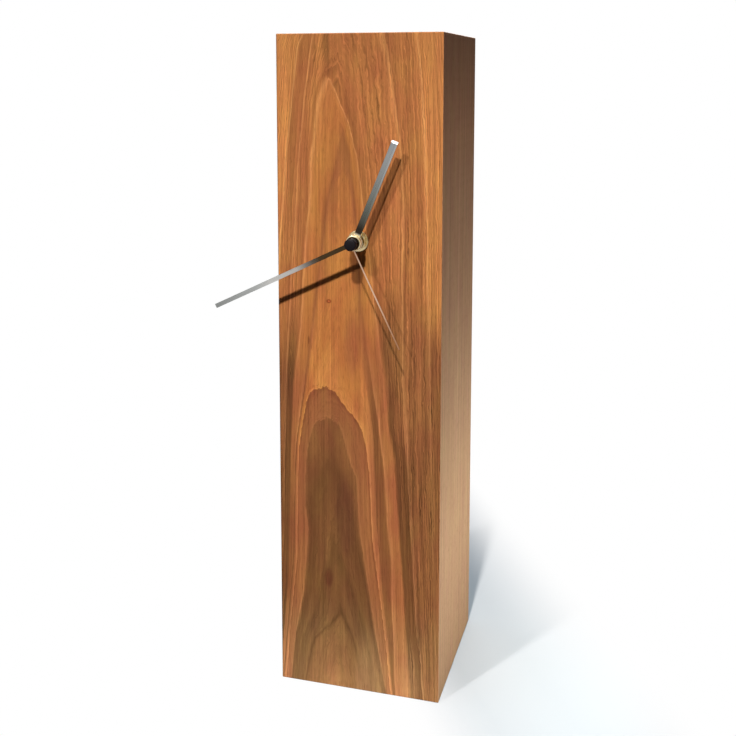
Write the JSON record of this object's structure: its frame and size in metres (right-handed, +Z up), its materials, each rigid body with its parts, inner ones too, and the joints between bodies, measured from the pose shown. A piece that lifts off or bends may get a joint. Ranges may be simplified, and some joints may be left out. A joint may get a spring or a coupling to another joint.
{
  "type": "wooden desk clock",
  "caption": "Tall square walnut column clock with straight bar hands on its bare front, a quartz movement inside and a magnetic rear hatch.",
  "frame": {"origin": "middle of the felt pad's underside, where the clock stands, under the middle of the square column", "axes": "+Z up the column, the front with the hands faces -Y, +X to the right as seen from the front"},
  "size_m": [0.1364, 0.1174, 0.4],
  "materials": {
    "walnut_front": "oiled flat-sawn walnut veneer",
    "walnut_back": "oiled flat-sawn walnut veneer",
    "walnut_side": "oiled straight-grained walnut veneer",
    "walnut_end": "oiled walnut veneer",
    "walnut_hatch": "oiled walnut",
    "felt": "dark wool felt",
    "magnet_steel": "nickel plated",
    "keeper_steel": "zinc plated steel",
    "black_plastic": "fine moulded texture",
    "white_plastic": "moulded acetal",
    "brass": "turned brass",
    "black_rubber": "matt rubber",
    "copper_wire": "enamelled copper wire",
    "circuit_green": "solder mask",
    "battery_jacket": "plain dark grey sleeve with pale bands",
    "satin_steel": "satin stainless steel",
    "copper_steel": "satin, pale copper tone",
    "gloss_black": "black, lightly polished"
  },
  "bodies": {
    "case": {"front_panel": "walnut_front", "back_panel": "walnut_back", "left_panel": "walnut_side", "right_panel": "walnut_side", "top_panel": "walnut_end", "bottom_panel": "walnut_end", "base_pad": "felt", "hatch_magnet_1": "magnet_steel", "hatch_magnet_2": "magnet_steel", "hatch_magnet_3": "magnet_steel", "hatch_magnet_4": "magnet_steel", "movement_base": "black_plastic", "movement_cover": "white_plastic", "threaded_bushing": "brass", "rubber_gasket": "black_rubber", "hub_washer": "brass", "hub_nut": "brass", "motor_stator": "magnet_steel", "coil_core": "magnet_steel", "coil_bobbin": "white_plastic", "coil_winding": "copper_wire", "circuit_board": "circuit_green", "circuit_chip": "black_plastic", "quartz_crystal": "magnet_steel", "positive_contact": "brass", "negative_contact": "brass"},
    "hatch": {"rear_hatch": "walnut_hatch", "hatch_keeper_1": "keeper_steel", "hatch_keeper_2": "keeper_steel", "hatch_keeper_3": "keeper_steel", "hatch_keeper_4": "keeper_steel"},
    "battery_cell": {"battery": "battery_jacket"},
    "minute": {"minute_hand": "satin_steel", "centre_wheel": "brass", "minute_hand_nut": "gloss_black"},
    "hour": {"hour_hand": "satin_steel", "hour_wheel": "brass", "hour_hand_collet": "brass"},
    "minute_work": {"minute_wheel": "white_plastic", "setting_knob": "white_plastic"},
    "third": {"third_wheel": "white_plastic"},
    "second": {"second_hand": "copper_steel", "seconds_wheel": "white_plastic", "second_hand_cap": "gloss_black"},
    "intermediate": {"intermediate_wheel": "white_plastic"},
    "rotor": {"rotor_magnet": "magnet_steel", "rotor_pinion": "white_plastic"}
  },
  "joints": [
    {"name": "minute_turn", "type": "hinge", "parent": "case", "child": "minute", "pos_m": [0, -0.05, 0.28], "axis": [0, 1, 0], "continuous": true},
    {"name": "hour_turn", "type": "hinge", "parent": "case", "child": "hour", "pos_m": [0, -0.05, 0.28], "axis": [0, 1, 0], "continuous": true},
    {"name": "knob_turn", "type": "hinge", "parent": "case", "child": "minute_work", "pos_m": [-0.00811, -0.05, 0.28114], "axis": [0, 1, 0], "continuous": true},
    {"name": "third_turn", "type": "hinge", "parent": "case", "child": "third", "pos_m": [0.00771, -0.05, 0.28281], "axis": [0, 1, 0], "continuous": true},
    {"name": "second_turn", "type": "hinge", "parent": "case", "child": "second", "pos_m": [0, -0.05, 0.28], "axis": [0, 1, 0], "continuous": true},
    {"name": "intermediate_turn", "type": "hinge", "parent": "case", "child": "intermediate", "pos_m": [-0.00253, -0.05, 0.28779], "axis": [0, 1, 0], "continuous": true},
    {"name": "rotor_turn", "type": "hinge", "parent": "case", "child": "rotor", "pos_m": [0.00217, -0.05, 0.2895], "axis": [0, 1, 0], "continuous": true},
    {"name": "hatch_slide", "type": "slide", "parent": "case", "child": "hatch", "axis": [0, 1, 0], "range_m": [0, 0.06]},
    {"name": "battery_slide", "type": "slide", "parent": "case", "child": "battery_cell", "axis": [0, 1, 0], "range_m": [0, 0.03]}
  ],
  "couplings": [
    {"joint": "hour_turn", "follows": "minute_turn", "ratio": 0.083333},
    {"joint": "knob_turn", "follows": "minute_turn", "ratio": -0.33333},
    {"joint": "third_turn", "follows": "minute_turn", "ratio": -8},
    {"joint": "second_turn", "follows": "minute_turn", "ratio": 60},
    {"joint": "intermediate_turn", "follows": "minute_turn", "ratio": -450},
    {"joint": "rotor_turn", "follows": "minute_turn", "ratio": 1800}
  ]
}
